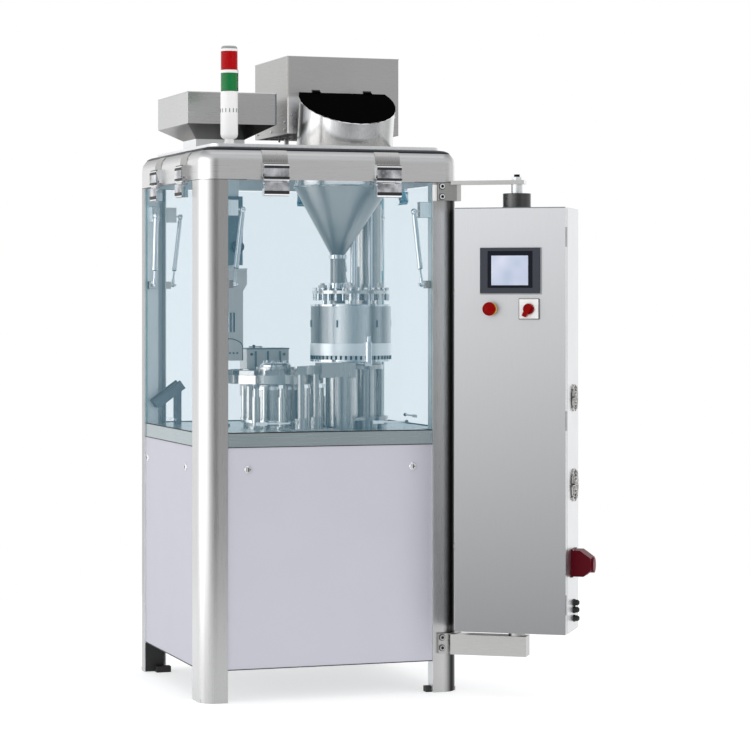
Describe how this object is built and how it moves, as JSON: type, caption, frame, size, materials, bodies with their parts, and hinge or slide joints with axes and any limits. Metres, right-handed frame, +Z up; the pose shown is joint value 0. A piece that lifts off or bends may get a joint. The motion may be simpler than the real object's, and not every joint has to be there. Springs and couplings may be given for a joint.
{
  "type": "automatic capsule filler",
  "caption": "Floor-standing rotary capsule filling machine with glass doors on gas struts, roof hoppers, filling turret and swivelling control cabinet.",
  "frame": {"origin": "centre of the bounding box on the floor, under the machine and its cabinet", "axes": "+Z up, -Y towards the operator at the front doors, +X towards the cabinet side"},
  "size_m": [1.2118, 1.114, 1.988],
  "materials": {
    "stainless": "satin brushed stainless sheet",
    "bright_steel": "bright rolled and turned stainless",
    "chrome": "polished chrome",
    "panel_paint": "pale lavender grey powder coat",
    "table_steel": "ground stainless table, blue grey",
    "glass": "clear sheet with a faint blue tint",
    "cabinet_steel": "fine vertical brushed stainless sheet",
    "dark_steel": "dull dark steel",
    "cast_drive": "painted cast gear case",
    "lid_black": "smooth black",
    "bezel": "dark blue grey moulded plastic",
    "button_red": "red moulded plastic",
    "inlet_red": "dark red moulded plastic",
    "lamp_white": "white moulded plastic with coloured lenses"
  },
  "bodies": {
    "root": {"post_front_left": "stainless", "post_front_right": "stainless", "post_back_left": "stainless", "post_back_right": "stainless", "top_frame": "stainless", "top_plate": "stainless", "work_table": "table_steel", "base_plate": "dark_steel", "lower_panel_front": "panel_paint", "lower_panel_left": "panel_paint", "lower_panel_right": "panel_paint", "lower_panel_back": "panel_paint", "powder_hopper": "bright_steel", "capsule_hopper": "stainless", "feeder_cover": "stainless", "feeder_column": "bright_steel", "tower_light": "lamp_white", "turret_housing": "dark_steel", "closing_station": "dark_steel", "dosing_stand": "bright_steel", "magazine_stand": "dark_steel", "discharge_chute": "bright_steel", "main_drive": "cast_drive", "cabinet_upper_arm": "stainless", "cabinet_lower_arm": "stainless"},
    "front_door": {"glass_door_front": "glass", "hinge_clamp_front_1": "chrome", "hinge_clamp_front_2": "chrome"},
    "strut_cylinder_front_1": {"strut_cylinder_front_1": "chrome"},
    "strut_rod_front_1": {"strut_rod_front_1": "chrome"},
    "strut_cylinder_front_2": {"strut_cylinder_front_2": "chrome"},
    "strut_rod_front_2": {"strut_rod_front_2": "chrome"},
    "left_door": {"glass_door_left": "glass", "hinge_clamp_left_1": "chrome", "hinge_clamp_left_2": "chrome"},
    "strut_cylinder_left_1": {"strut_cylinder_left_1": "chrome"},
    "strut_rod_left_1": {"strut_rod_left_1": "chrome"},
    "strut_cylinder_left_2": {"strut_cylinder_left_2": "chrome"},
    "strut_rod_left_2": {"strut_rod_left_2": "chrome"},
    "right_door": {"glass_door_right": "glass"},
    "strut_cylinder_right_1": {"strut_cylinder_right_1": "chrome"},
    "strut_rod_right_1": {"strut_rod_right_1": "chrome"},
    "strut_cylinder_right_2": {"strut_cylinder_right_2": "chrome"},
    "strut_rod_right_2": {"strut_rod_right_2": "chrome"},
    "back_door": {"glass_door_back": "glass"},
    "strut_cylinder_back_1": {"strut_cylinder_back_1": "chrome"},
    "strut_rod_back_1": {"strut_rod_back_1": "chrome"},
    "strut_cylinder_back_2": {"strut_cylinder_back_2": "chrome"},
    "strut_rod_back_2": {"strut_rod_back_2": "chrome"},
    "cabinet": {"cabinet_shell": "cabinet_steel", "power_inlet": "inlet_red"},
    "cabinet_door": {"cabinet_door": "cabinet_steel", "touch_screen": "bezel"},
    "estop_button": {"estop_button": "button_red"},
    "main_switch_knob": {"main_switch_knob": "button_red"},
    "hopper_lid": {"hopper_lid": "lid_black"},
    "turret": {"turret": "bright_steel"},
    "dosing_drum": {"dosing_drum": "bright_steel"},
    "tamping_head": {"tamping_head": "bright_steel"},
    "capsule_magazine": {"capsule_magazine": "dark_steel"}
  },
  "joints": [
    {"name": "front_door_hinge", "type": "hinge", "parent": "root", "child": "front_door", "pos_m": [-0.17894, -0.26999, 1.576], "axis": [-1, 0, 0], "range_deg": [0, 80]},
    {"name": "front_strut_1_swing", "type": "hinge", "parent": "root", "child": "strut_cylinder_front_1", "pos_m": [-0.45394, -0.23399, 1.485], "axis": [-0.9996, -0.0195, 0.0194], "range_deg": [0, 90.19]},
    {"name": "front_strut_1_extend", "type": "slide", "parent": "strut_cylinder_front_1", "child": "strut_rod_front_1", "axis": [-0.1148, 0, -0.9934], "range_m": [0, 0.1156]},
    {"name": "front_strut_2_swing", "type": "hinge", "parent": "root", "child": "strut_cylinder_front_2", "pos_m": [0.09606, -0.23399, 1.485], "axis": [-0.9996, 0.0195, -0.0194], "range_deg": [0, 90.19]},
    {"name": "front_strut_2_extend", "type": "slide", "parent": "strut_cylinder_front_2", "child": "strut_rod_front_2", "axis": [0.1148, 0, -0.9934], "range_m": [0, 0.1156]},
    {"name": "left_door_hinge", "type": "hinge", "parent": "root", "child": "left_door", "pos_m": [-0.59894, 0.15351, 1.576], "axis": [0, 1, 0], "range_deg": [0, 80]},
    {"name": "left_strut_1_swing", "type": "hinge", "parent": "root", "child": "strut_cylinder_left_1", "pos_m": [-0.56295, 0.40401, 1.485], "axis": [-0.0195, 0.9996, 0.0194], "range_deg": [0, 90.19]},
    {"name": "left_strut_1_extend", "type": "slide", "parent": "strut_cylinder_left_1", "child": "strut_rod_left_1", "axis": [0, 0.1148, -0.9934], "range_m": [0, 0.1156]},
    {"name": "left_strut_2_swing", "type": "hinge", "parent": "root", "child": "strut_cylinder_left_2", "pos_m": [-0.56295, -0.09699, 1.485], "axis": [0.0195, 0.9996, -0.0194], "range_deg": [0, 90.19]},
    {"name": "left_strut_2_extend", "type": "slide", "parent": "strut_cylinder_left_2", "child": "strut_rod_left_2", "axis": [0, -0.1148, -0.9934], "range_m": [0, 0.1156]},
    {"name": "right_door_hinge", "type": "hinge", "parent": "root", "child": "right_door", "pos_m": [0.24705, 0.15351, 1.576], "axis": [0, -1, 0], "range_deg": [0, 80]},
    {"name": "right_strut_1_swing", "type": "hinge", "parent": "root", "child": "strut_cylinder_right_1", "pos_m": [0.21105, -0.09699, 1.485], "axis": [0.0195, -0.9996, 0.0194], "range_deg": [0, 90.19]},
    {"name": "right_strut_1_extend", "type": "slide", "parent": "strut_cylinder_right_1", "child": "strut_rod_right_1", "axis": [0, -0.1148, -0.9934], "range_m": [0, 0.1156]},
    {"name": "right_strut_2_swing", "type": "hinge", "parent": "root", "child": "strut_cylinder_right_2", "pos_m": [0.21105, 0.40401, 1.485], "axis": [-0.0195, -0.9996, -0.0194], "range_deg": [0, 90.19]},
    {"name": "right_strut_2_extend", "type": "slide", "parent": "strut_cylinder_right_2", "child": "strut_rod_right_2", "axis": [0, 0.1148, -0.9934], "range_m": [0, 0.1156]},
    {"name": "back_door_hinge", "type": "hinge", "parent": "root", "child": "back_door", "pos_m": [-0.17894, 0.55001, 1.576], "axis": [1, 0, 0], "range_deg": [0, 80]},
    {"name": "back_strut_1_swing", "type": "hinge", "parent": "root", "child": "strut_cylinder_back_1", "pos_m": [0.09606, 0.51401, 1.485], "axis": [0.9996, 0.0195, 0.0194], "range_deg": [0, 90.19]},
    {"name": "back_strut_1_extend", "type": "slide", "parent": "strut_cylinder_back_1", "child": "strut_rod_back_1", "axis": [0.1148, 0, -0.9934], "range_m": [0, 0.1156]},
    {"name": "back_strut_2_swing", "type": "hinge", "parent": "root", "child": "strut_cylinder_back_2", "pos_m": [-0.45394, 0.51401, 1.485], "axis": [0.9996, -0.0195, -0.0194], "range_deg": [0, 90.19]},
    {"name": "back_strut_2_extend", "type": "slide", "parent": "strut_cylinder_back_2", "child": "strut_rod_back_2", "axis": [-0.1148, 0, -0.9934], "range_m": [0, 0.1156]},
    {"name": "cabinet_swivel", "type": "hinge", "parent": "root", "child": "cabinet", "pos_m": [0.38176, -0.37449, 0.85], "axis": [0, 0, 1], "range_deg": [-50, 90]},
    {"name": "cabinet_door_hinge", "type": "hinge", "parent": "cabinet", "child": "cabinet_door", "pos_m": [0.46655, -0.55701, 0.85], "axis": [0, 0, 1], "range_deg": [0, 110]},
    {"name": "estop_press", "type": "slide", "parent": "cabinet_door", "child": "estop_button", "axis": [0.5563, 0.831, 0], "range_m": [0, 0.005], "stiffness_N_per_m": 1500},
    {"name": "main_switch_turn", "type": "hinge", "parent": "cabinet_door", "child": "main_switch_knob", "pos_m": [0.37348, -0.49471, 1.185], "axis": [-0.5563, -0.831, 0], "range_deg": [0, 90]},
    {"name": "hopper_lid_hinge", "type": "hinge", "parent": "root", "child": "hopper_lid", "pos_m": [-0.05595, 0.02101, 1.867], "axis": [-1, 0, 0], "range_deg": [0, 115]},
    {"name": "turret_spin", "type": "hinge", "parent": "root", "child": "turret", "pos_m": [-0.24394, 0.12001, 0.96], "axis": [0, 0, 1], "continuous": true},
    {"name": "dosing_spin", "type": "hinge", "parent": "root", "child": "dosing_drum", "pos_m": [-0.00594, 0.08001, 1.05], "axis": [0, 0, 1], "continuous": true},
    {"name": "tamping_stroke", "type": "slide", "parent": "root", "child": "tamping_head", "axis": [0, 0, 1], "range_m": [0, 0.03]},
    {"name": "magazine_stroke", "type": "slide", "parent": "root", "child": "capsule_magazine", "axis": [0, 0, 1], "range_m": [0, 0.02]}
  ],
  "couplings": [
    {"joint": "front_strut_1_swing", "follows": "front_door_hinge", "ratio": 1.1267},
    {"joint": "front_strut_1_extend", "follows": "front_door_hinge", "m_per_rad": 0.082679},
    {"joint": "front_strut_2_swing", "follows": "front_door_hinge", "ratio": 1.1267},
    {"joint": "front_strut_2_extend", "follows": "front_door_hinge", "m_per_rad": 0.082679},
    {"joint": "left_strut_1_swing", "follows": "left_door_hinge", "ratio": 1.1267},
    {"joint": "left_strut_1_extend", "follows": "left_door_hinge", "m_per_rad": 0.082679},
    {"joint": "left_strut_2_swing", "follows": "left_door_hinge", "ratio": 1.1267},
    {"joint": "left_strut_2_extend", "follows": "left_door_hinge", "m_per_rad": 0.082679},
    {"joint": "right_strut_1_swing", "follows": "right_door_hinge", "ratio": 1.1267},
    {"joint": "right_strut_1_extend", "follows": "right_door_hinge", "m_per_rad": 0.082679},
    {"joint": "right_strut_2_swing", "follows": "right_door_hinge", "ratio": 1.1267},
    {"joint": "right_strut_2_extend", "follows": "right_door_hinge", "m_per_rad": 0.082679},
    {"joint": "back_strut_1_swing", "follows": "back_door_hinge", "ratio": 1.1267},
    {"joint": "back_strut_1_extend", "follows": "back_door_hinge", "m_per_rad": 0.082679},
    {"joint": "back_strut_2_swing", "follows": "back_door_hinge", "ratio": 1.1267},
    {"joint": "back_strut_2_extend", "follows": "back_door_hinge", "m_per_rad": 0.082679},
    {"joint": "dosing_spin", "follows": "turret_spin", "ratio": -1.6667}
  ]
}
